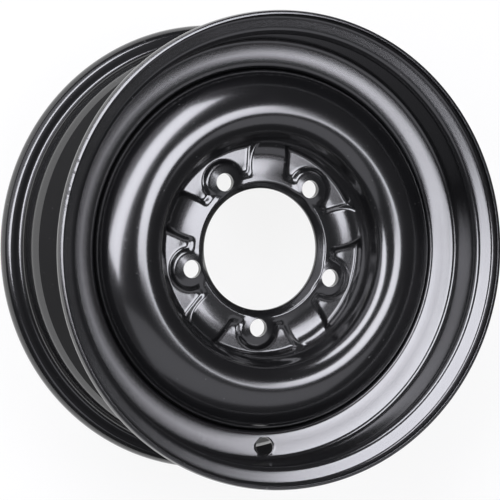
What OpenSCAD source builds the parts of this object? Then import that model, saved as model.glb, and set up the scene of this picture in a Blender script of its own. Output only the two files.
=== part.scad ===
// Steel road wheel: a rolled rim with a pressed disc welded into its well.
// The axis is Z, the face that bolts to the hub lies at z = 0 and the outboard side is up.

/* [Rim] */
// Width between the tyre-side faces of the two flanges
rim_width = 152.4; // [140:0.1:165]
// Diameter of the bead seats where they meet the flanges
bead_seat_dia = 380.2; // [376:0.1:390]
// Distance from the hub face back to the rim's centre plane
wheel_offset = 22; // [18:1:26]
// Thickness of the rim sheet
rim_sheet = 2.8; // [2.4:0.1:3.4]
// Height of the flanges above the bead seats
flange_height = 17.3; // [16.5:0.1:18.5]
// Tyre-side radius of the curled flange
curl_radius = 10.7; // [10:0.1:11.2]
// Angle that the curl runs on past its highest point
lip_turn = 15; // [5:1:25]
// Taper of the bead seats
seat_taper = 5; // [4:0.5:6]
// Tyre-side diameter of the well
well_dia = 325.6; // [324:0.1:328]
// Slope of the well's outboard wall from the wheel plane
well_wall_angle = 31; // [26:1:36]
// Diameter of the valve hole
valve_hole_dia = 15.8; // [11.3:0.1:16.5]
// Angle of the valve hole about the axis
valve_angle = 269.4; // [240:0.1:300]

/* [Disc] */
// Thickness of the disc sheet
disc_sheet = 5; // [4:0.1:5.5]
// Radius of the crest of the disc's outer bulge
crest_radius = 122; // [120:0.5:122.5]
// Height of the crest above the hub face
crest_height = 39; // [36:0.5:40]
// Depth that the disc's skirt reaches behind the hub face
skirt_depth = 24; // [20:0.5:26]

/* [Hub] */
// Diameter of the centre bore
bore_dia = 108.5; // [100:0.1:110]
// Diameter of the bolt circle
bolt_circle_dia = 139.7; // [138:0.1:141]
// Diameter of the bolt holes
bolt_hole_dia = 16; // [13:0.1:17]
// Number of bolts
bolt_count = 5; // [5:1:5]
// Angle of the first bolt about the axis
first_bolt_angle = 50.3; // [0:0.1:72]
// Outer radius of the pressed mounting pads
pad_radius = 93.4; // [92:0.1:94.5]
// Width of the ribs between the pads, at the pads' level
rib_width = 38; // [34:0.5:40]
// Diameter of the raised crowns round the bolt holes, at the pads' level
crown_dia = 42; // [38:0.5:43]

/* [Welds] */
// Number of weld runs that hold the disc in the rim
weld_count = 8; // [4:1:12]
// Angle that each weld run covers
weld_span = 26; // [12:1:28]
// Leg length of the weld fillets
weld_leg = 4.5; // [3:0.5:4.5]

/* [Hidden] */
$fn = 120;

// Largest turn of one straight piece in a bend, in degrees
bend_step = 11;
// Room left between the disc's skirt and the rim
seat_gap = 0.05;
steel_black = [0.13, 0.13, 0.14];

seat_r = bead_seat_dia / 2;
well_r = well_dia / 2;
face_front = rim_width / 2 - wheel_offset;
face_rear = -rim_width / 2 - wheel_offset;
curl_centre_r = seat_r + flange_height - curl_radius;
curl_tangent = curl_radius * tan((90 + lip_turn) / 2);
// Straight end of the lip past its curl
lip_straight = 0.8;
lip_length = curl_tangent + lip_straight;
// Lengths of the bead seats along the axis
seat_length_front = 23.2;
seat_length_rear = 23.7;
seat_end_front = face_front - seat_length_front;
seat_end_rear = face_rear + seat_length_rear;
function seat_at(depth) = seat_r - depth * tan(seat_taper);
// Ends of the well's flat bottom
well_top = seat_end_front - (seat_at(seat_length_front) - well_r) * tan(well_wall_angle);
well_rear = -33;
// Radial distance from the well's bottom to the middle of the valve hole
valve_rise = 10.9;
// Tyre-side bend radii of the rim, from the flange to the inboard seat
flange_bend = 6.5;
seat_bend = 7;
well_bend = 6;
slope_foot_bend = 20;
slope_top_bend = 10;

bore_r = bore_dia / 2;
bolt_r = bolt_circle_dia / 2;
skirt_r = well_r - rim_sheet - seat_gap;
sector = 360 / bolt_count;
// Heights of the pressed levels above the hub face, on the outboard side
bore_ring_z = 9.6;
valley_z = 7.4;
bowl_foot_z = 9.7;
crown_z = 10;
// Radii on the pressed hub form
collar_r = 70;
bore_ring_r = 63;
valley_r = 75;
bowl_foot_r = crest_radius - 24.7;
// Slopes of the pressed walls, from level
bowl_wall_angle = 75;
crest_in_slope = 40;
crest_out_slope = 20;
shoulder_slope = 34;
rib_draft = 58;
pad_draft = 60;
pad_wall_draft = 72;
// Drop of the bowl wall's upper bend below the crest
crest_drop = 8.2;
// Distance from the crest to its outer slope, and the length of that slope
crest_half = 6.8;
crest_run = 14;
// Outboard bend radii of the disc, from the bore to the skirt
bore_lip_bend = 6;
ring_bend = 12;
valley_bend = 30;
bowl_foot_bend = 20;
wall_top_bend = 10;
crest_in_bend = 25.5;
crest_out_bend = 36;
outer_bend = 60;
shoulder_bend = 22;

// How far the hollow behind a rib lies inside the rib, and the pads' backs outside the pads
rib_back = 3;
pad_back_in = 4;
pad_back_out = 2.5;
// Height of the pads' outer wall above the hub face, behind the bowl's foot
pad_wall_z = 10;
// Height of a crown's straight flank
crown_flank = 2.6;
// Height of the hollow behind a crown, and its insets at the hub face and at its top
crown_back_z = 3.8;
crown_back_in = 1.8;
crown_back_top_in = 6.5;
// Depth of the conical seats in the bolt holes, and how much they widen for each unit of depth
bolt_seat_depth = 0.6;
bolt_seat_flare = 0.9;
// How full a weld run is between its two legs
weld_fullness = 0.62;
// Overlap of shapes that are joined, and the heights between which the cutting shapes run
bite = 0.6;
cut_top = 16;
cut_floor = -2;
// Radius within which the bore's lip stays a plain ring
lip_keep_r = bore_r + disc_sheet + bite;

function unit(v) = v / norm(v);
function left_of(v) = [-v[1], v[0]];
function turned(v, a) = [v[0] * cos(a) - v[1] * sin(a), v[0] * sin(a) + v[1] * cos(a)];
function flat(p) = [p[0], p[1]];

// Points of the bend at corner q between p and s, moved by side to the left of travel
function bend(p, q, s, side) =
    let (into = unit(flat(q) - flat(p)), out = unit(flat(s) - flat(q)))
    let (turn = atan2(cross(into, out), into * out), hand = sign(turn))
    let (start = flat(q) - into * q[2] * tan(abs(turn) / 2))
    let (centre = start + left_of(into) * q[2] * hand)
    let (spoke = (start - centre) * (q[2] - hand * side) / q[2])
    let (steps = max(1, ceil(abs(turn) / bend_step)))
    [for (i = [0:steps]) centre + turned(spoke, turn * i / steps)];

// A path of corners [r, z, bend radius] with its bends drawn, moved by side to the left
function path(corners, side) =
    let (last = len(corners) - 1)
    let (first_way = unit(flat(corners[1]) - flat(corners[0])))
    let (last_way = unit(flat(corners[last]) - flat(corners[last - 1])))
    concat(
        [flat(corners[0]) + left_of(first_way) * side],
        [for (i = [1:last - 1]) each bend(corners[i - 1], corners[i], corners[i + 1], side)],
        [flat(corners[last]) + left_of(last_way) * side]);

function reversed(points) = [for (i = [len(points) - 1:-1:0]) points[i]];

// Closed section of a sheet that follows a path and lies to its right
function sheet(corners, thickness) = concat(path(corners, 0), reversed(path(corners, -thickness)));

// The rim's tyre side from the outboard lip to the inboard lip
curl_corner_r = curl_centre_r + curl_tangent;
lip_end_r = curl_corner_r - lip_length * sin(lip_turn);
rim_path = [
    [lip_end_r, face_front + lip_length * cos(lip_turn)],
    [curl_corner_r, face_front, curl_radius],
    [seat_r, face_front, flange_bend],
    [seat_at(seat_length_front), seat_end_front, seat_bend],
    [well_r, well_top, well_bend],
    [well_r, well_rear, slope_foot_bend],
    [seat_at(seat_length_rear), seat_end_rear, slope_top_bend],
    [seat_r, face_rear, flange_bend],
    [curl_corner_r, face_rear, curl_radius],
    [lip_end_r, face_rear - lip_length * cos(lip_turn)]
];

// The disc's outboard side from the bore to the edge of the skirt
wall_top_z = crest_height - crest_drop;
wall_top_r = bowl_foot_r + (wall_top_z - bowl_foot_z) / tan(bowl_wall_angle);
crest_in_r = wall_top_r + crest_drop / tan(crest_in_slope);
crest_out_r = crest_radius + crest_half;
outer_r = crest_out_r + crest_run * cos(crest_out_slope);
outer_z = crest_height - crest_run * sin(crest_out_slope);
shoulder_z = outer_z - (skirt_r - outer_r) * tan(shoulder_slope);
disc_path = [
    [bore_r, 0],
    [bore_r, bore_ring_z, bore_lip_bend],
    [bore_ring_r, bore_ring_z, ring_bend],
    [valley_r, valley_z, valley_bend],
    [bowl_foot_r, bowl_foot_z, bowl_foot_bend],
    [wall_top_r, wall_top_z, wall_top_bend],
    [crest_in_r, crest_height, crest_in_bend],
    [crest_out_r, crest_height, crest_out_bend],
    [outer_r, outer_z, outer_bend],
    [skirt_r, shoulder_z, shoulder_bend],
    [skirt_r, -skirt_depth]
];

// Repeats its children once for each bolt, turned so that the bolt lies on their +X
module each_bolt(turn = 0) {
    for (i = [0:bolt_count - 1]) rotate([0, 0, first_bolt_angle + turn + i * sector]) children();
}

// Cuts its children off at the bore's lip
module outside_lip() {
    difference() {
        children();
        translate([0, 0, cut_floor - 1]) cylinder(h = cut_top, r = lip_keep_r);
    }
}

// A radial bar of drafted section on +X, as wide as given at one level and narrowing upwards
module drafted_bar(width, level, bottom, top) {
    run = 1 / tan(rib_draft);
    top_half = width / 2 - (top - level) * run;
    bottom_half = width / 2 + (level - bottom) * run;
    rotate([90, 0, 90])
        linear_extrude(2 * pad_radius)
            polygon([[-bottom_half, bottom], [bottom_half, bottom], [top_half, top], [-top_half, top]]);
}

// The space behind the sheet of the valley and the bowl's foot
module behind_sheet() {
    reach = pad_radius + pad_back_out + disc_sheet;
    back = [for (p = path(disc_path, -disc_sheet - bite)) if (p[0] > bore_ring_r - bite && p[0] < reach) p];
    rotate_extrude()
        polygon(concat([[back[0][0], cut_floor]], back, [[back[len(back) - 1][0], cut_floor]]));
}

// The hollow behind a rib
module rib_hollow() {
    intersection() {
        drafted_bar(rib_width - 2 * rib_back, 0, cut_floor, cut_top);
        behind_sheet();
    }
}

// The raised crown round a bolt hole, a low cone wider than its flank by what pad_space trims
module crown() {
    base_r = crown_dia / 2;
    translate([bolt_r, 0, 0])
        rotate_extrude()
            polygon([
                [0, disc_sheet - bite],
                [base_r + 2 * bite, disc_sheet - bite],
                [base_r + bite - crown_flank, disc_sheet + crown_flank],
                [bolt_hole_dia / 2, crown_z],
                [0, crown_z]]);
}

// The cone of a crown's flank, run up past the top of the pressing
module crown_flank_cone() {
    base_r = crown_dia / 2;
    rise = cut_top + 1 - disc_sheet;
    translate([bolt_r, 0, disc_sheet - bite])
        cylinder(h = rise + bite, r1 = base_r + bite, r2 = base_r - rise);
}

// The hollow behind a crown
module crown_hollow() {
    base_r = crown_dia / 2;
    flare = (crown_back_top_in - crown_back_in) / crown_back_z;
    translate([bolt_r, 0, cut_floor])
        cylinder(
            h = crown_back_z - cut_floor,
            r1 = base_r - crown_back_in - cut_floor * flare,
            r2 = base_r - crown_back_top_in);
}

// A bolt hole with its small conical seat
module bolt_hole() {
    hole_r = bolt_hole_dia / 2;
    seat_cut = bolt_seat_depth + 1;
    translate([bolt_r, 0, cut_floor]) cylinder(h = cut_top - cut_floor, r = hole_r);
    translate([bolt_r, 0, crown_z - bolt_seat_depth])
        cylinder(h = seat_cut, r1 = hole_r, r2 = hole_r + seat_cut * bolt_seat_flare);
}

// The space above the mounting pads, between ribs, crowns, collar and bowl
module pad_space() {
    rise = cut_top - disc_sheet;
    difference() {
        rotate_extrude()
            polygon([
                [collar_r, disc_sheet],
                [pad_radius, disc_sheet],
                [pad_radius + rise / tan(pad_wall_draft), cut_top],
                [collar_r - rise / tan(pad_draft), cut_top]]);
        each_bolt(sector / 2) drafted_bar(rib_width, disc_sheet, disc_sheet - 1, cut_top + 1);
        each_bolt() crown_flank_cone();
    }
}

// The ring of metal that the pads and their outer wall are pressed from, down to the hub face
module pad_metal() {
    top = disc_sheet + bite;
    inner_r = collar_r - pad_back_in;
    outer_r = pad_radius + pad_back_out;
    rotate_extrude()
        polygon([
            [inner_r, 0],
            [outer_r, 0],
            [outer_r + pad_wall_z / tan(pad_wall_draft), pad_wall_z],
            [pad_radius, pad_wall_z],
            [(valley_r + pad_radius) / 2, top],
            [inner_r - top / tan(pad_draft), top]]);
}

// The rolled hoop with its flanges, bead seats, well and valve hole
module rim() {
    valve_z = well_top + valve_rise * tan(well_wall_angle) + rim_sheet / 2 / cos(well_wall_angle);
    color(steel_black)
        difference() {
            rotate_extrude() polygon(sheet(rim_path, rim_sheet));
            rotate([0, 0, valve_angle])
                translate([well_r + valve_rise, 0, valve_z])
                    rotate([0, -well_wall_angle, 0])
                        cylinder(h = valve_hole_dia, d = valve_hole_dia, center = true, $fn = 48);
        }
}

// The pressed disc with its bulge, bowl, ribs, crowns, mounting pads and holes
module disc() {
    color(steel_black)
        difference() {
            union() {
                rotate_extrude() polygon(sheet(disc_path, disc_sheet));
                pad_metal();
                each_bolt() outside_lip() crown();
            }
            pad_space();
            each_bolt(sector / 2) rib_hollow();
            each_bolt() outside_lip() crown_hollow();
            each_bolt() bolt_hole();
        }
}

// Fillet welds between the edge of the skirt and the well, just clear of both
module weld_runs() {
    root_r = skirt_r + seat_gap / 2;
    root_z = -skirt_depth - seat_gap / 2;
    belly = weld_leg * weld_fullness;
    color(steel_black)
        for (i = [0:weld_count - 1])
            rotate([0, 0, (i + 0.5) * 360 / weld_count - weld_span / 2])
                rotate_extrude(angle = weld_span)
                    polygon([
                        [root_r, root_z],
                        [root_r, root_z - weld_leg],
                        [root_r - belly, root_z - belly],
                        [root_r - weld_leg, root_z]]);
}

rim();
disc();
weld_runs();
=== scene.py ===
import math

import bmesh
import bpy
import numpy as np
from mathutils import Matrix, Vector


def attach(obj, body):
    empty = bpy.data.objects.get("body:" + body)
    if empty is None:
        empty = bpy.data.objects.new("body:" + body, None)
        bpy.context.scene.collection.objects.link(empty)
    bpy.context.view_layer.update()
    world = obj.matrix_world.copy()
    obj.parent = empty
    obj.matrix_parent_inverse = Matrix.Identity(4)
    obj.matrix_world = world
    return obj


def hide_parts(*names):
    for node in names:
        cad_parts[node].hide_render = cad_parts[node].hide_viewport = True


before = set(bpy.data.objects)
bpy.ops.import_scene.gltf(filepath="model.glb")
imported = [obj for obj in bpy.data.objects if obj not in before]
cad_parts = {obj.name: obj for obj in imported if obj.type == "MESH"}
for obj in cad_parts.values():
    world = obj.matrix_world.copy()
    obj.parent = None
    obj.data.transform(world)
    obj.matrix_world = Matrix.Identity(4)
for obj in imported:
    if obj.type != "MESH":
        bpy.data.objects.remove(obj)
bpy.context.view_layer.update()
scene = bpy.context.scene
scene.view_settings.view_transform = "Standard"

# Sizes are in millimetres and degrees. The axis is Z, the hub face lies at z = 0 and the outboard
# side is up. The main dimensions are those of the part's source. The well's shelf, the outboard
# flange's face and the levels of the pressed hub follow the photograph more closely than it does.
MM = 0.001

# Rim: sheet, bead seats, flanges and well
RIM_SHEET = 2.8
SEAT_R, WELL_R = 190.1, 162.8
SEAT_TAPER, SEAT_FRONT_LENGTH, SEAT_REAR_LENGTH, SEAT_REAR_BEND = 5.0, 23.2, 23.7, 10.0
FACE_FRONT, FACE_REAR = 54.2, -98.2
FLANGE_HEIGHT, CURL_R, FLANGE_BEND = 17.3, 10.7, 6.5
LIP_TURN, LIP_STRAIGHT = 15.0, 0.8
WELL_REAR_Z, WELL_FRONT_BEND, WELL_REAR_BEND = -33.0, 2.4, 20.0

# Rim: the outboard flange's face, and the well's shelf with the step at its outer edge
FACE_LEAN, FACE_CURL_R, FACE_ROOT_R = 9.0, 7.5, 4.0
SHELF_OUT, SHELF_MID, SHELF_IN, SHELF_Z = 184.0, 178.0, 167.0, 17.4
SHELF_OUT_ANGLE, SHELF_ANGLE, SHELF_IN_ANGLE = 9.0, 5.0, 12.0
SHELF_MID_BEND, SHELF_IN_BEND = 80.0, 36.0
STEP_ANGLE, STEP_TOP_BEND, STEP_FOOT_BEND = 32.5, 4.2, 9.0

# Rim: the valve hole, its place outside the well and its rounded edges
VALVE_ANGLE, VALVE_HOLE_R, VALVE_FROM_WELL = 269.4, 7.9, 11.5
VALVE_EDGE_R, VALVE_EDGE_TURN, VALVE_EDGE_POINTS = 0.9, 75.0, 6
VALVE_CUT_WIDER, VALVE_CUT_PAST = 3.0, 1.2
# How far the tyre side's corner of the outboard lip is set back
LIP_BACKSET = 0.2

# Disc: sheet, skirt, bore, bolts
DISC_SHEET = 5.0
SKIRT_R, SKIRT_DEPTH = 159.95, 24.0
BORE_R = 54.25
BOLT_COUNT = 5
BOLT_R, BOLT_ANGLE, BOLT_HOLE_R = 69.85, 50.3, 8.0
BEVEL, BEVEL_Z = 0.9, 9.9
BOLT_CUT_FROM, BOLT_CUT_TO = -3.0, 14.0
SECTOR = 72.0

# Disc: the turned form, from the valley round the hub over the bowl and the crest to the skirt
VALLEY_R, VALLEY_Z = 75.0, 7.6
VALLEY_FRONT_BEND, VALLEY_BACK_BEND = 80.0, 50.0
CREST_R, CREST_Z = 122.0, 39.0
FOOT_IN, FOOT_Z, FOOT_BEND = 24.7, 9.7, 20.0
BOWL_ANGLE, BOWL_DROP, BOWL_BEND = 75.0, 8.2, 10.0
CREST_IN_ANGLE, CREST_IN_BEND = 40.0, 25.5
CREST_OUT, CREST_OUT_BEND = 6.8, 36.0
SLOPE_ANGLE, SLOPE_LENGTH, SLOPE_BEND = 20.0, 14.0, 60.0
SHOULDER_ANGLE, SHOULDER_BEND = 34.0, 22.0

# Disc: the bore's lip, where the outboard and inboard sides start, as corners (r, z, bend radius)
LIP_FRONT = [(BORE_R, 0, 0), (BORE_R, 3.7, 1.6), (60.3, 9.1, 2.6)]
LIP_BACK = [(BORE_R, 0, 0), (BORE_R, 9.6, 6), (63, 9.6, 12)]

# Disc: the pressed hub. Pads dip towards the bore, ribs are cambered, crowns are low domes.
PAD_Z, PAD_R, COLLAR_R = 5.0, 90.2, 70.0
PAD_DIP, PAD_DIP_R = 0.005, 82.0
RIB_HALF = 19.0
CAMBER, CAMBER_HALF, CAMBER_IN, CAMBER_OUT = 0.0008, 17.0, (64.0, 72.0), (92.0, 100.0)
CROWN_R, CROWN_Z = 21.2, 10.4
DOME_SLOPE, DOME_CURVE, DOME_REACH = 0.2, 0.002, 25.0
# Distances from a rib's, a crown's and the collar's edge to the foot of its wall
RIB_FOOT, CROWN_FOOT, COLLAR_FOOT = 2.8, 0.9, 3.0
# Foot radius and angle of the pads' inner and outer walls
INNER_WALL, OUTER_WALL = (5.6, 48.0), (3.6, 80.0)
# Fillets: dome on rib, corners of a pad at the crown and at the collar, walls, upper edge
DOME_FILLET, CROWN_FILLET, COLLAR_FILLET, WALL_FILLET, BRIM_FILLET = 0.8, 7.0, 4.0, 0.6, 1.9
# On the back: the hollow of a crown, then each wall's inset and angle, and the fillets
HOLLOW_Z, HOLLOW_REACH, HOLLOW_FILLET = 3.9, 22.0, 1.0
BACK_RIB, BACK_COLLAR, BACK_OUTER = (3.0, 58.0), (4.0, 60.0), (5.7, 72.0)
BACK_CROWN_IN, BACK_CROWN_SLOPE = 1.8, 0.83
BACK_COLLAR_FILLET, BACK_FILLET = 3.0, 1.5
# Radii between which the sheet is pressed, and the width of the fade at the inner one
PRESSED_FRONT, FADE_FRONT = (56.5, 101.0), 4.0
PRESSED_BACK, FADE_BACK = (60.5, 106.0), 2.0
SKIRT_BELOW = -1.0
FAR_BELOW = -50.0

# Welds, and the shape of a bead: how fast its ends grow, its swell, and its ripples (height, rate)
WELD_COUNT, WELD_SPAN, WELD_LEG, WELD_GAP = 8, 26.0, 4.5, 0.025
END_RATE, END_LEAST = 14, 0.02
SWELL, EDGE_SINK, ROUNDNESS = 0.16, 0.04, 0.12
RIPPLE, RIPPLE_DRIFT, WAVE = (0.06, 1.9), (0.4, 0.7), (0.03, 0.53)

# Meshes: columns round the axis, points along a bend and round a cut edge, angle of a sharp edge
DISC_COLUMNS, RIM_COLUMNS = 760, 360
BEND_STEP, FINE_POINTS, EDGE_POINTS = 1.5, 6000, 5
DISC_EDGE_R, RIM_EDGE_R = 0.6, 0.5
SHARP_ANGLE, BEAD_SHARP_ANGLE = 38, 60
BEAD_STEPS, BEAD_POINTS = 90, 9
# Spacing along the sections: in zones of radius, or by turn (radians) within a least and a most
WALL_ZONE, WALL_STEP = (90.8, 94.5), 0.34
HUB_ZONE, HUB_STEP = (60, 98), 0.6
BACK_ZONE, BACK_HUB_STEP, BACK_STEP = (58, 104), 1.3, 4.0
DISC_TURN_STEP, RIM_TURN_STEP = (0.06, 0.6, 3.0), (0.07, 0.55, 5.0)

# The inboard lip's lowest edge, where the wheel lies on the floor
FLOOR_Z = -112.44


def tan(deg):
    return math.tan(math.radians(deg))


def rim_corners():
    """The rim's tyre side, from the outboard lip to the inboard one, as (r, z, bend radius)."""
    turn, lean = math.radians(LIP_TURN), math.radians(FACE_LEAN)
    # The inboard flange has a face square to the axis.
    tangent = CURL_R * tan((90 + LIP_TURN) / 2)
    lip = tangent + LIP_STRAIGHT
    corner_r = SEAT_R + FLANGE_HEIGHT - CURL_R + tangent
    lip_r = corner_r - lip * math.sin(turn)
    # The outboard flange has a face that leans outward.
    face_tangent = FACE_CURL_R * tan((90 + LIP_TURN - FACE_LEAN) / 2)
    curl_in = FACE_CURL_R * (1 - math.sin(lean))
    face_r = SEAT_R + FLANGE_HEIGHT - curl_in + face_tangent * math.cos(lean)
    face_z = FACE_FRONT + (face_r - SEAT_R) * tan(FACE_LEAN)
    top_z = FACE_FRONT + lip * math.cos(turn)
    seat_front = SEAT_R - SEAT_FRONT_LENGTH * tan(SEAT_TAPER)
    seat_rear = SEAT_R - SEAT_REAR_LENGTH * tan(SEAT_TAPER)
    step_z = SHELF_Z + (SHELF_OUT - SHELF_MID) * tan(SHELF_OUT_ANGLE)
    step_top_z = step_z + (seat_front - SHELF_OUT) * tan(STEP_ANGLE)
    in_z = SHELF_Z - (SHELF_MID - SHELF_IN) * tan(SHELF_ANGLE)
    well_z = in_z - (SHELF_IN - WELL_R) * tan(SHELF_IN_ANGLE)
    return [
        (face_r - (top_z - face_z) * tan(LIP_TURN), top_z, 0),
        (face_r, face_z, FACE_CURL_R),
        (SEAT_R, FACE_FRONT, FACE_ROOT_R),
        (seat_front, step_top_z, STEP_TOP_BEND),
        (SHELF_OUT, step_z, STEP_FOOT_BEND),
        (SHELF_MID, SHELF_Z, SHELF_MID_BEND),
        (SHELF_IN, in_z, SHELF_IN_BEND),
        (WELL_R, well_z, WELL_FRONT_BEND),
        (WELL_R, WELL_REAR_Z, WELL_REAR_BEND),
        (seat_rear, FACE_REAR + SEAT_REAR_LENGTH, SEAT_REAR_BEND),
        (SEAT_R, FACE_REAR, FLANGE_BEND),
        (corner_r, FACE_REAR, CURL_R),
        (lip_r, FACE_REAR - lip * math.cos(turn), 0),
    ]


def disc_corners(lip, valley_bend):
    """The disc's outboard side, from the bore's lip to the skirt's edge, as (r, z, bend radius)."""
    foot_r = CREST_R - FOOT_IN
    bowl_z = CREST_Z - BOWL_DROP
    bowl_r = foot_r + (bowl_z - FOOT_Z) / tan(BOWL_ANGLE)
    crest_in = bowl_r + BOWL_DROP / tan(CREST_IN_ANGLE)
    crest_out = CREST_R + CREST_OUT
    slope = math.radians(SLOPE_ANGLE)
    slope_r = crest_out + SLOPE_LENGTH * math.cos(slope)
    slope_z = CREST_Z - SLOPE_LENGTH * math.sin(slope)
    shoulder_z = slope_z - (SKIRT_R - slope_r) * tan(SHOULDER_ANGLE)
    return lip + [
        (VALLEY_R, VALLEY_Z, valley_bend),
        (foot_r, FOOT_Z, FOOT_BEND),
        (bowl_r, bowl_z, BOWL_BEND),
        (crest_in, CREST_Z, CREST_IN_BEND),
        (crest_out, CREST_Z, CREST_OUT_BEND),
        (slope_r, slope_z, SLOPE_BEND),
        (SKIRT_R, shoulder_z, SHOULDER_BEND),
        (SKIRT_R, -SKIRT_DEPTH, 0),
    ]


def bent(corners, side=0.0):
    """Dense points along a path of corners, moved by side to the left of travel."""
    def left(v):
        return np.array([-v[1], v[0]])

    c = [np.array(p[:2], float) for p in corners]
    ways = [(b - a) / np.linalg.norm(b - a) for a, b in zip(c, c[1:])]
    pts = [c[0] + side * left(ways[0])]
    for i in range(1, len(c) - 1):
        a, b = ways[i - 1], ways[i]
        turn = math.atan2(a[0] * b[1] - a[1] * b[0], a @ b)
        hand, radius = math.copysign(1, turn), corners[i][2]
        start = c[i] - a * radius * math.tan(abs(turn) / 2)
        centre = start + left(a) * radius * hand
        spoke = (start - centre) * (radius - hand * side) / radius
        count = max(3, math.ceil(math.degrees(abs(turn)) / BEND_STEP))
        for t in np.linspace(0, turn, count):
            pts.append(centre + np.array([spoke[0] * math.cos(t) - spoke[1] * math.sin(t),
                                          spoke[0] * math.sin(t) + spoke[1] * math.cos(t)]))
    pts.append(c[-1] + side * left(ways[-1]))
    return np.array(pts)


def bend_step(curve, turn, least, most):
    """Spacing that gives about one turn (radians) a step on a curve, within least and most."""
    return max(least, min(most, turn / max(curve, 1e-4)))


def resampled(pts, step):
    """Points along a path at the spacing that step(radius, turn per mm) gives."""
    seg = np.r_[0, np.cumsum(np.linalg.norm(np.diff(pts, axis=0), axis=1))]
    s = np.linspace(0, seg[-1], FINE_POINTS)
    fine = np.stack([np.interp(s, seg, pts[:, 0]), np.interp(s, seg, pts[:, 1])], 1)
    way = np.unwrap(np.arctan2(*np.gradient(fine, axis=0).T[::-1]))
    curve = np.abs(np.gradient(way, s))
    keep, gone = [0], 0.0
    for i in range(1, len(s)):
        gone += (s[i] - s[i - 1]) / step(fine[i][0], curve[i])
        if gone >= 1:
            keep.append(i)
            gone = 0.0
    keep[-1] = len(s) - 1
    return fine[keep]


def capped(front, back, radius):
    """Closed section of a sheet with rounded cut edges, and how many points its front has."""
    def edge(a, a_in, b):
        ua, ub = (a - a_in) / np.linalg.norm(a - a_in), (b - a) / np.linalg.norm(b - a)
        out = []
        for p, sign, turns in ((a, 1, (0, 90)), (b, -1, (90, 0))):
            centre = p - ua * radius + ub * radius * sign
            for t in np.radians(np.linspace(*turns, EDGE_POINTS)):
                out.append(centre - ub * sign * radius * math.cos(t) + ua * radius * math.sin(t))
        return out

    def trimmed(p):
        clear = radius * 1.2
        d0, d1 = np.linalg.norm(p - p[0], axis=1), np.linalg.norm(p - p[-1], axis=1)
        return p[(d0 > clear) & (d1 > clear)]

    end = edge(front[-1], front[-2], back[-1])
    start = edge(back[0], back[1], front[0])
    section = list(trimmed(front)) + end + list(trimmed(back)[::-1]) + start
    return np.array(section), len(trimmed(front))


def new_object(name, verts, faces):
    """An object from points in millimetres, with its faces turned outward."""
    mesh = bpy.data.meshes.new(name)
    mesh.from_pydata((np.asarray(verts) * MM).tolist(), [], faces)
    obj = bpy.data.objects.new(name, mesh)
    scene.collection.objects.link(obj)
    bm = bmesh.new()
    bm.from_mesh(mesh)
    bmesh.ops.recalc_face_normals(bm, faces=bm.faces)
    bm.to_mesh(mesh)
    bm.free()
    return obj


def ringed_object(name, rings):
    """A closed object from rings of points, each as long as the next or a whole share of it."""
    first = np.cumsum([0] + [len(ring) for ring in rings])
    faces = []
    for k, ring in enumerate(rings):
        m = (k + 1) % len(rings)
        n = max(len(ring), len(rings[m]))
        a = first[k] + np.arange(n + 1) * len(ring) // n % len(ring)
        b = first[m] + np.arange(n + 1) * len(rings[m]) // n % len(rings[m])
        for quad in zip(a[:-1].tolist(), a[1:].tolist(), b[1:].tolist(), b[:-1].tolist()):
            faces.append(tuple(dict.fromkeys(quad)))
    return new_object(name, np.concatenate(rings), faces)


def turned_grid(section, columns):
    """Points of a section (r, z) turned round the axis, a row for each of its points."""
    phi = np.radians(np.arange(columns) * 360 / columns)
    r, z = section[:, 0:1], section[:, 1:2]
    return np.stack([r * np.cos(phi), r * np.sin(phi), np.repeat(z, columns, 1)], -1)


def cutter(profile, centre, axis, segments=72):
    """A closed turned body from (radius, distance along axis) pairs, for cutting holes."""
    bm = bmesh.new()
    rings = []
    for radius, along in profile:
        rings.append([bm.verts.new((radius * math.cos(t), radius * math.sin(t), along))
                      for t in np.linspace(0, 2 * math.pi, segments, endpoint=False)])
    for lo, hi in zip(rings, rings[1:]):
        for k in range(segments):
            bm.faces.new((lo[k], lo[(k + 1) % segments], hi[(k + 1) % segments], hi[k]))
    bm.faces.new(rings[0][::-1])
    bm.faces.new(rings[-1])
    turn = Vector((0, 0, 1)).rotation_difference(Vector(axis)).to_matrix().to_4x4()
    bm.transform(Matrix.Scale(MM, 4) @ Matrix.Translation(centre) @ turn)
    mesh = bpy.data.meshes.new("cutter")
    bm.to_mesh(mesh)
    bm.free()
    return mesh


def cut(obj, cutters):
    """Takes the cutters away from an object's mesh."""
    bm = bmesh.new()
    for mesh in cutters:
        bm.from_mesh(mesh)
    together = bpy.data.meshes.new("cutters")
    bm.to_mesh(together)
    bm.free()
    tool = bpy.data.objects.new("cutters", together)
    scene.collection.objects.link(tool)
    mod = obj.modifiers.new("cut", "BOOLEAN")
    mod.operation, mod.solver, mod.object = "DIFFERENCE", "EXACT", tool
    bpy.context.view_layer.update()
    evaluated = obj.evaluated_get(bpy.context.evaluated_depsgraph_get())
    done = bpy.data.meshes.new_from_object(evaluated)
    obj.modifiers.clear()
    old = obj.data
    obj.data = done
    done.name = old.name
    bpy.data.meshes.remove(old)
    bpy.data.objects.remove(tool)
    for mesh in cutters + [together]:
        bpy.data.meshes.remove(mesh)


def smooth(obj, angle):
    """Smooth shading, with edges sharper than the angle kept."""
    obj.data.polygons.foreach_set("use_smooth", [True] * len(obj.data.polygons))
    obj.data.set_sharp_from_angle(angle=math.radians(angle))


def smax(a, b, k):
    """The larger of two heights, with a fillet where they are within k of each other."""
    h = np.maximum(k - np.abs(a - b), 0) / k
    return np.maximum(a, b) + h * h * k / 4


def smin(a, b, k):
    """The smaller of two heights, with such a fillet."""
    return -smax(-a, -b, k)


def ease(x, lo, hi):
    """A soft 0 to 1 step from lo to hi."""
    t = np.clip((x - lo) / (hi - lo), 0, 1)
    return t * t * (3 - 2 * t)


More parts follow.
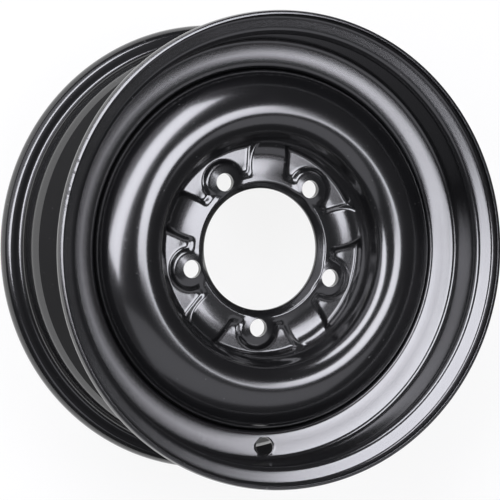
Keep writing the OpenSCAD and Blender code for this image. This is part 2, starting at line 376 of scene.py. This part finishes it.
def rise(x, radius, angle):
    """Height of a wall at x past its foot: an arc up to the angle, then straight."""
    run = radius * math.sin(math.radians(angle))
    inside = np.clip(x, 0, run)
    arc = radius - np.sqrt(radius ** 2 - inside ** 2)
    return np.where(x < 0, 0, arc + (np.maximum(x, run) - run) * tan(angle))


def hub_places(r, phi):
    """Distances from the nearest bolt's axis and from the nearest rib's middle line."""
    t = np.radians((phi - BOLT_ANGLE + SECTOR / 2) % SECTOR - SECTOR / 2)
    rho = np.hypot(r * np.cos(t) - BOLT_R, r * np.sin(t))
    side = r * np.sin(math.radians(SECTOR / 2) - np.abs(t))
    return rho, side


def pressed_front(r, base, phi):
    """Outboard height of the pressed hub; base is the plain turned form."""
    rho, side = hub_places(r, phi)
    along_rib = ease(r, *CAMBER_IN) * (1 - ease(r, *CAMBER_OUT))
    ribs = base - CAMBER * np.minimum(side, CAMBER_HALF) ** 2 * along_rib
    away = np.maximum(rho - BOLT_HOLE_R, 0)
    dome_z = CROWN_Z - DOME_SLOPE * away - DOME_CURVE * away ** 2
    top = smax(ribs, np.where(rho > DOME_REACH, FAR_BELOW, dome_z), DOME_FILLET)
    # Distance past the nearest foot of a wall round the pads
    past_foot = smax(RIB_HALF + RIB_FOOT - side, CROWN_R + CROWN_FOOT - rho, CROWN_FILLET)
    past_foot = smax(past_foot, COLLAR_R + COLLAR_FOOT - r, COLLAR_FILLET)
    floor = PAD_Z - PAD_DIP * np.maximum(PAD_DIP_R - r, 0) ** 2
    walls = smax(rise(past_foot, *INNER_WALL), rise(r - PAD_R, *OUTER_WALL), WALL_FILLET)
    return smin(top, floor + walls, BRIM_FILLET)


def pressed_back(r, base, phi):
    """Inboard height of the pressed hub."""
    rho, side = hub_places(r, phi)
    top = smax(base, np.where(rho > HOLLOW_REACH, FAR_BELOW, HOLLOW_Z), HOLLOW_FILLET)
    wall = (RIB_HALF - BACK_RIB[0] - side) * tan(BACK_RIB[1])
    outer = (r - PAD_R - BACK_OUTER[0]) * tan(BACK_OUTER[1])
    collar = (COLLAR_R - BACK_COLLAR[0] - r) * tan(BACK_COLLAR[1])
    flank = (CROWN_R - BACK_CROWN_IN - rho) * BACK_CROWN_SLOPE
    pocket = smax(smax(wall, collar, BACK_COLLAR_FILLET), smax(flank, outer, WALL_FILLET),
                  BACK_FILLET)
    return smin(top, smax(pocket, np.zeros_like(pocket), BACK_FILLET), BACK_FILLET)


def build_disc():
    """The disc: a turned sheet, pressed by moving its points along the axis, then drilled."""
    def front_step(r, curve):
        if WALL_ZONE[0] < r < WALL_ZONE[1]:
            return WALL_STEP
        in_hub = HUB_ZONE[0] < r < HUB_ZONE[1]
        return HUB_STEP if in_hub else bend_step(curve, *DISC_TURN_STEP)

    def back_step(r, curve):
        return BACK_HUB_STEP if BACK_ZONE[0] < r < BACK_ZONE[1] else BACK_STEP

    front = resampled(bent(disc_corners(LIP_FRONT, VALLEY_FRONT_BEND)), front_step)
    back = resampled(bent(disc_corners(LIP_BACK, VALLEY_BACK_BEND), -DISC_SHEET), back_step)
    section, n_front = capped(front, back, DISC_EDGE_R)
    grid = turned_grid(section, DISC_COLUMNS)
    r = np.repeat(section[:, 0:1], DISC_COLUMNS, 1)
    base = np.repeat(section[:, 1:2], DISC_COLUMNS, 1)
    phi = np.repeat((np.arange(DISC_COLUMNS) * 360 / DISC_COLUMNS)[None], len(section), 0)
    rows = np.arange(len(section))[:, None]
    z = base
    past_edge = n_front + 2 * EDGE_POINTS
    on_front = (rows < n_front) & (r > PRESSED_FRONT[0]) & (r < PRESSED_FRONT[1])
    on_back = ((rows >= past_edge) & (r > PRESSED_BACK[0]) & (r < PRESSED_BACK[1])
               & (base > SKIRT_BELOW))
    for on_side, pressed, start, fade in ((on_front, pressed_front, PRESSED_FRONT[0], FADE_FRONT),
                                          (on_back, pressed_back, PRESSED_BACK[0], FADE_BACK)):
        share = np.clip((r - start) / fade, 0, 1)
        z = np.where(on_side, base + (pressed(r, base, phi) - base) * share, z)
    grid[..., 2] = z
    # Rows off the pressed hub need fewer points.
    thin = np.where(on_front[:, 0], 1, np.where(on_back[:, 0], 2, 4))
    disc = ringed_object("disc_pressing", [row[::share] for row, share in zip(grid, thin)])
    bevel_r = BOLT_HOLE_R + BEVEL
    hole = [(BOLT_HOLE_R, BOLT_CUT_FROM), (BOLT_HOLE_R, BEVEL_Z),
            (bevel_r, BEVEL_Z + BEVEL), (bevel_r, BOLT_CUT_TO)]
    cutters = []
    for i in range(BOLT_COUNT):
        a = math.radians(BOLT_ANGLE + SECTOR * i)
        place = (BOLT_R * math.cos(a), BOLT_R * math.sin(a), 0)
        cutters.append(cutter(hole, place, (0, 0, 1)))
    cut(disc, cutters)
    smooth(disc, SHARP_ANGLE)
    return disc


def build_rim():
    """The rim: a turned sheet with the valve hole cut through its shelf."""
    def step(r, curve):
        return bend_step(curve, *RIM_TURN_STEP)

    tyre_side, open_side = bent(rim_corners()), bent(rim_corners(), -RIM_SHEET)
    # The outboard lip's cut edge faces straight out.
    way = (open_side[0] - open_side[1]) / np.linalg.norm(open_side[0] - open_side[1])
    open_side[0] += way * (tyre_side[0][1] - open_side[0][1]) / way[1]
    tyre_side[0] -= way * LIP_BACKSET
    section, _ = capped(resampled(tyre_side, step), resampled(open_side, step), RIM_EDGE_R)
    rim = ringed_object("rim_hoop", turned_grid(section, RIM_COLUMNS))
    a, lean = math.radians(VALVE_ANGLE), math.radians(SHELF_ANGLE)
    r = WELL_R + VALVE_FROM_WELL
    z = SHELF_Z - (SHELF_MID - r) * tan(SHELF_ANGLE) + RIM_SHEET / 2
    axis = (-math.sin(lean) * math.cos(a), -math.sin(lean) * math.sin(a), math.cos(lean))
    half = RIM_SHEET / 2
    upper = [(VALVE_HOLE_R + VALVE_EDGE_R * (1 - math.cos(t)),
              half - VALVE_EDGE_R + VALVE_EDGE_R * math.sin(t))
             for t in np.radians(np.linspace(0, VALVE_EDGE_TURN, VALVE_EDGE_POINTS))]
    upper.append((VALVE_HOLE_R + VALVE_CUT_WIDER, half + VALVE_CUT_PAST))
    hole = [(radius, -along) for radius, along in reversed(upper)] + upper
    cut(rim, [cutter(hole, (r * math.cos(a), r * math.sin(a), z), axis)])
    smooth(rim, SHARP_ANGLE)
    return rim


def bead_points(i, k):
    """A cross-section of bead i, at step k along it: its rippled face, then the corner it fills."""
    root_r, root_z = SKIRT_R + WELD_GAP, -SKIRT_DEPTH - WELD_GAP
    t = k / BEAD_STEPS
    ang = math.radians((i + 0.5) * 360 / WELD_COUNT + (t - 0.5) * WELD_SPAN)
    end = min(1.0, math.sqrt(min(t, 1 - t) * END_RATE) + END_LEAST)
    drift = RIPPLE_DRIFT[0] * math.sin(k * RIPPLE_DRIFT[1] + i)
    ripple = (1 + RIPPLE[0] * math.sin(k * RIPPLE[1] + drift)
              + WAVE[0] * math.sin(k * WAVE[1] + i * 2))
    points = []
    for m in range(BEAD_POINTS):
        u = m / (BEAD_POINTS - 1)
        swell = math.sin(math.pi * u)
        c, s = math.cos(math.pi / 2 * u), math.sin(math.pi / 2 * u)
        bow = WELD_LEG * end * (1 + SWELL * swell * ripple - EDGE_SINK * (1 - swell))
        bow = min(bow * (1 / (c + s) + ROUNDNESS * swell), WELD_LEG)
        points.append((root_r - bow * s, root_z - bow * c))
    points.append((root_r, root_z))
    return [(r * math.cos(ang), r * math.sin(ang), z) for r, z in points]


def build_welds():
    """Fillet beads with the ripples of a weld, between the skirt's edge and the well."""
    verts, faces = [], []
    ring = BEAD_POINTS + 1
    for i in range(WELD_COUNT):
        base = len(verts)
        for k in range(BEAD_STEPS + 1):
            verts += bead_points(i, k)
        for k in range(BEAD_STEPS):
            for m in range(ring):
                a, b = base + k * ring + m, base + k * ring + (m + 1) % ring
                faces.append((a, b, b + ring, a + ring))
        faces.append(tuple(base + m for m in range(ring))[::-1])
        faces.append(tuple(base + BEAD_STEPS * ring + m for m in range(ring)))
    welds = new_object("weld_beads", verts, faces)
    smooth(welds, BEAD_SHARP_ANGLE)
    return welds


# Paint: colours, the noises' scale and detail, and the share of a noise at which a mark starts
# and is full
PAINT_DARK, PAINT_LIGHT = (0.0042, 0.0042, 0.0046, 1), (0.0075, 0.0075, 0.0080, 1)
SPECK_COLOUR = (0.07, 0.07, 0.07, 1)
CLOUD_NOISE, PEEL_NOISE = (28.0, 4.0, 0.6), (520.0, 2.0)
PEEL_STRENGTH, PEEL_DEPTH = 0.008, 0.0004
SPECK_NOISE, SPECK_SHARE = (330.0, 1.0), (0.775, 0.80)
CHIP_NOISE, CHIP_SHARE, CHIP_ROUGHNESS = (260.0, 2.0), (0.56, 0.60), 0.5
SEAM_NOISE, SEAM_SHARE = (300.0, 3.0), (0.42, 0.6)
COAT_ROUGHNESS = 0.09
# Where the rim's marks start and are full (metres, as the Object coordinates are)
CHIP_X, CHIP_Z = (-0.150, -0.170), (0.0660, 0.0672)
CHIP_Y_LOW, CHIP_Y_HIGH = (0.030, 0.045), (0.100, 0.085)
SEAM_X, SEAM_WIDTH, SEAM_Y = (0.006, 0.014), (0.0011, 0.0004), (0.15, 0.16)
SEAM_Z_LOW, SEAM_Z_HIGH = (0.020, 0.024), (0.052, 0.048)
# A Mix node's colour sockets, whose names its other types share
MIX_FACTOR, MIX_A, MIX_B, MIX_COLOUR = 0, 6, 7, 2


def set_values(shader_node, **values):
    """Sets a node's properties, or its inputs, by name with underscores for spaces."""
    for key, value in values.items():
        if hasattr(shader_node, key):
            setattr(shader_node, key, value)
        else:
            shader_node.inputs[key.replace("_", " ")].default_value = value


def node(tree, kind, **values):
    """A new shader node with its values set."""
    made = tree.nodes.new(kind)
    set_values(made, **values)
    return made


def window(tree, value, low, high):
    """A soft 0 to 1 step from low to high of a value; from 1 to 0 where low is the larger."""
    up = low < high
    part = node(tree, "ShaderNodeMapRange", interpolation_type="SMOOTHSTEP",
                From_Min=min(low, high), From_Max=max(low, high),
                To_Min=0.0 if up else 1.0, To_Max=1.0 if up else 0.0)
    tree.links.new(value, part.inputs["Value"])
    return part.outputs["Result"]


def joined(tree, operation, values):
    """Values joined one after the other by a maths operation."""
    total = values[0]
    for value in values[1:]:
        both = node(tree, "ShaderNodeMath", operation=operation)
        tree.links.new(total, both.inputs[0])
        tree.links.new(value, both.inputs[1])
        total = both.outputs["Value"]
    return total


def noise(tree, coord, scale, detail, roughness=0.5):
    """Noise over the object's own coordinates."""
    made = node(tree, "ShaderNodeTexNoise", Scale=scale, Detail=detail, Roughness=roughness)
    tree.links.new(coord.outputs["Object"], made.inputs["Vector"])
    return made.outputs["Fac"]


def rim_marks(tree, coord):
    """Masks for the rim: chips on the left of the outboard lip, and faint seam marks at the top."""
    link = tree.links.new
    split = tree.nodes.new("ShaderNodeSeparateXYZ")
    link(coord.outputs["Object"], split.inputs["Vector"])
    x, y, z = (split.outputs[k] for k in "XYZ")
    chips = joined(tree, "MULTIPLY", [
        window(tree, z, *CHIP_Z), window(tree, x, *CHIP_X),
        window(tree, y, *CHIP_Y_LOW), window(tree, y, *CHIP_Y_HIGH),
        window(tree, noise(tree, coord, *CHIP_NOISE), *CHIP_SHARE)])
    lines = []
    for place in SEAM_X:
        off = node(tree, "ShaderNodeMath", operation="SUBTRACT")
        off.inputs[1].default_value = place
        link(x, off.inputs[0])
        gap = node(tree, "ShaderNodeMath", operation="ABSOLUTE")
        link(off.outputs["Value"], gap.inputs[0])
        lines.append(window(tree, gap.outputs["Value"], *SEAM_WIDTH))
    seam = joined(tree, "MULTIPLY", [
        joined(tree, "MAXIMUM", lines), window(tree, y, *SEAM_Y),
        window(tree, z, *SEAM_Z_LOW), window(tree, z, *SEAM_Z_HIGH),
        window(tree, noise(tree, coord, *SEAM_NOISE), *SEAM_SHARE)])
    return chips, seam


def paint(name, specular=0.95, coat=0.5, rough_low=0.16, rough_high=0.22, marks=None):
    """Semi-gloss black paint with a faint peel, soft gloss changes and a few pale specks."""
    mat = bpy.data.materials.new(name)
    mat.use_nodes = True
    tree = mat.node_tree
    link = tree.links.new
    shader = tree.nodes["Principled BSDF"]
    set_values(shader, Metallic=0.0, IOR=1.5, Specular_IOR_Level=specular,
               Coat_Weight=coat, Coat_Roughness=COAT_ROUGHNESS)
    coord = tree.nodes.new("ShaderNodeTexCoord")
    cloud = noise(tree, coord, *CLOUD_NOISE)
    rough = node(tree, "ShaderNodeMapRange", To_Min=rough_low, To_Max=rough_high)
    link(cloud, rough.inputs["Value"])
    gloss = rough.outputs["Result"]
    specks = window(tree, noise(tree, coord, *SPECK_NOISE), *SPECK_SHARE)
    if marks:
        chips, pale = marks(tree, coord)
        chip_rough = node(tree, "ShaderNodeMath", operation="MULTIPLY_ADD")
        chip_rough.inputs[1].default_value = CHIP_ROUGHNESS
        link(chips, chip_rough.inputs[0])
        link(gloss, chip_rough.inputs[2])
        gloss = chip_rough.outputs["Value"]
        specks = joined(tree, "MAXIMUM", [specks, pale])
    link(gloss, shader.inputs["Roughness"])
    ramp = tree.nodes.new("ShaderNodeValToRGB")
    ramp.color_ramp.elements[0].color = PAINT_DARK
    ramp.color_ramp.elements[1].color = PAINT_LIGHT
    link(cloud, ramp.inputs["Fac"])
    tint = node(tree, "ShaderNodeMix", data_type="RGBA")
    tint.inputs[MIX_B].default_value = SPECK_COLOUR
    link(specks, tint.inputs[MIX_FACTOR])
    link(ramp.outputs["Color"], tint.inputs[MIX_A])
    link(tint.outputs[MIX_COLOUR], shader.inputs["Base Color"])
    bump = node(tree, "ShaderNodeBump", Strength=PEEL_STRENGTH, Distance=PEEL_DEPTH)
    link(noise(tree, coord, *PEEL_NOISE), bump.inputs["Height"])
    link(bump.outputs["Normal"], shader.inputs["Normal"])
    return mat


disc = build_disc()
rim = build_rim()
welds = build_welds()
for piece, cad, slot in ((disc, "disc", "disc_paint"),
                         (rim, "rim", "rim_paint"),
                         (welds, "weld_runs", "weld_paint")):
    piece.data.materials.clear()
    piece.data.materials.append(paint(slot, marks=rim_marks if piece is rim else None))
    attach(piece, "root")
    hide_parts(cad)

# Painted shade: a duller copy of the paint (low specular, no coat, rougher) on the well's tyre side
# and on the inboard flange's face, which darkens their reflections there (metres)
WELL_DULL_LOW, WELL_DULL_HIGH, WELL_OUTWARD = -0.066, 0.014, 0.3
FLANGE_DULL_BELOW, FLANGE_FACING = -0.09, 0.93
# The second slot holds the painted shade, a less reflective copy of the rim's paint.
rim.data.materials.append(
    paint("rim_shaded_paint", specular=0.22, coat=0.0, rough_low=0.41, rough_high=0.47))
# Faces on the well's tyre side and on the inboard flange's face get the painted shade.
for face in rim.data.polygons:
    c, n = face.center, face.normal
    outward = c.x * n.x + c.y * n.y > WELL_OUTWARD * math.hypot(c.x, c.y)
    in_well = WELL_DULL_LOW < c.z < WELL_DULL_HIGH and outward
    if in_well or (c.z < FLANGE_DULL_BELOW and n.z > FLANGE_FACING):
        face.material_index = 1

# White floor (metres), which partly glows where it is seen or mirrored, so that it keeps a shadow
FLOOR_SIZE, FLOOR_WHITE, FLOOR_GLOW = 14, (0.9, 0.9, 0.9, 1), 0.88
bpy.ops.mesh.primitive_plane_add(size=FLOOR_SIZE, location=(0, 0, FLOOR_Z * MM))
floor = bpy.context.object
floor.name = "floor"
floor_mat = bpy.data.materials.new("floor")
floor_mat.use_nodes = True
tree = floor_mat.node_tree
matt = tree.nodes["Principled BSDF"]
set_values(matt, Base_Color=FLOOR_WHITE, Roughness=0.9, Specular_IOR_Level=0.2)
white = node(tree, "ShaderNodeEmission", Color=(1, 1, 1, 1), Strength=1.0)
path = tree.nodes.new("ShaderNodeLightPath")
seen = joined(tree, "MAXIMUM", [path.outputs[f"Is {ray} Ray"]
                                for ray in ("Camera", "Glossy", "Transmission")])
share = node(tree, "ShaderNodeMath", operation="MULTIPLY")
share.inputs[1].default_value = FLOOR_GLOW
tree.links.new(seen, share.inputs[0])
mix = tree.nodes.new("ShaderNodeMixShader")
tree.links.new(share.outputs["Value"], mix.inputs["Fac"])
tree.links.new(matt.outputs["BSDF"], mix.inputs[1])
tree.links.new(white.outputs["Emission"], mix.inputs[2])
tree.links.new(mix.outputs["Shader"], tree.nodes["Material Output"].inputs["Surface"])
floor.data.materials.append(floor_mat)

# Camera at the photograph's place (metres); its focal length and the picture's width are in pixels
CAMERA_PLACE = Vector((-0.7203, 0.0356, 1.7358))
CAMERA_VIEW, CAMERA_UP = Vector((0.3791, -0.0194, -0.9252)), Vector((0, 0.9998, -0.021))
FOCAL_PX, PICTURE_PX, SENSOR = 2108.4, 500, 36
camera = bpy.data.objects.new("camera", bpy.data.cameras.new("camera"))
scene.collection.objects.link(camera)
view = CAMERA_VIEW.normalized()
right = view.cross(CAMERA_UP).normalized()
turn = Matrix((right, right.cross(view), -view)).transposed().to_4x4()
camera.matrix_world = Matrix.Translation(CAMERA_PLACE) @ turn
camera.data.sensor_width = SENSOR
camera.data.lens = SENSOR * FOCAL_PX / PICTURE_PX
scene.camera = camera

LAMP_COLOUR = (0.92, 0.92, 1.0)


def panel(name, azimuth, near, far, left, right, height, radiance):
    """A flat lamp overhead that faces down, at a height in metres.

    Its reach toward the azimuth and across it are shares of the height.
    """
    lamp = bpy.data.lights.new(name, "AREA")
    lamp.shape = "RECTANGLE"
    lamp.size, lamp.size_y = height * (far - near), height * (right - left)
    lamp.color = LAMP_COLOUR
    lamp.energy = radiance * math.pi * lamp.size * lamp.size_y
    a = math.radians(azimuth)
    along = Vector((math.cos(a), math.sin(a), 0))
    across = Vector((-math.sin(a), math.cos(a), 0))
    middle = (near + far) / 2 * along + (left + right) / 2 * across + Vector((0, 0, 1))
    obj = bpy.data.objects.new(name, lamp)
    obj.matrix_world = Matrix.Translation(height * middle) @ Matrix.Rotation(a, 4, "Z")
    scene.collection.objects.link(obj)


panel("lamp_top", azimuth=0, near=-0.02, far=0.43, left=-0.06, right=0.306,
      height=2.4, radiance=8.5)
panel("lamp_key", azimuth=145, near=0.60, far=1.15, left=-1.10, right=0.80,
      height=2.2, radiance=8.5)
panel("lamp_front", azimuth=280, near=0.35, far=1.30, left=-1.0, right=0.9,
      height=2.2, radiance=0.65)
panel("lamp_left", azimuth=152, near=1.4, far=6.0, left=-2.0, right=1.6,
      height=1.0, radiance=0.8)

world = bpy.data.worlds.new("studio")
world.use_nodes = True
set_values(world.node_tree.nodes["Background"], Color=(0.94, 0.95, 1.0, 1), Strength=0.07)
scene.world = world
